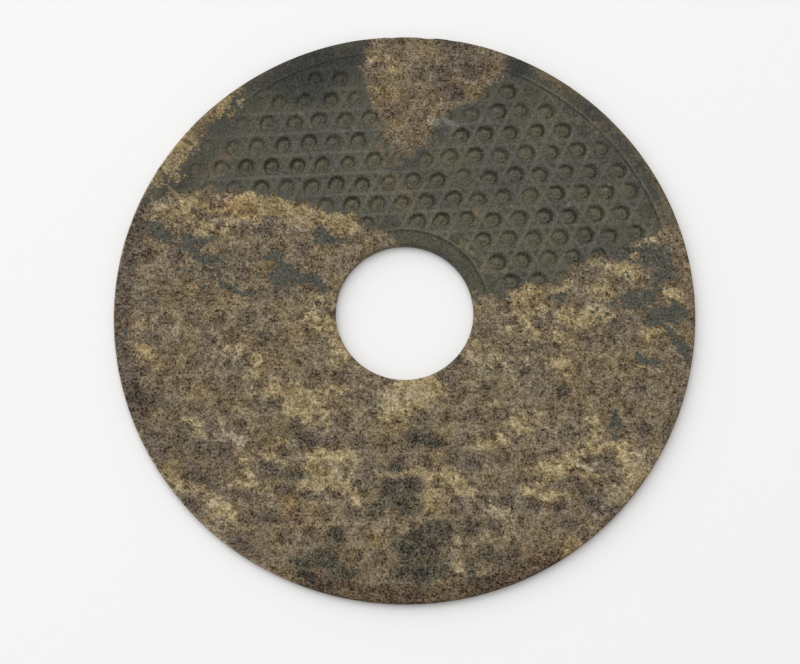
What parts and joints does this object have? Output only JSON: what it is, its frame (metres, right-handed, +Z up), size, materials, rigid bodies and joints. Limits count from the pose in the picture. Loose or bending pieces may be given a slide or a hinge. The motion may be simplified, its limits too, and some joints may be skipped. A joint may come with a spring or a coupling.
{
  "type": "jade bi disc",
  "caption": "Flat round disc of mottled nephrite with a central hole, carved with a lattice of comma-shaped grains between two plain rims.",
  "frame": {"origin": "centre of the ring on its flat underside, where it rests", "axes": "+Z up out of the carved face, +X and +Y in the plane of the disc, the rows of grains running about 3 degrees off +X"},
  "size_m": [0.17, 0.1698, 0.0032],
  "materials": {
    "nephrite": "polished nephrite, dark grey-green in a band across the top and altered to speckled tan and brown elsewhere, worn to a soft sheen"
  },
  "bodies": {
    "root": {"bi_disc": "nephrite"}
  },
  "joints": []
}
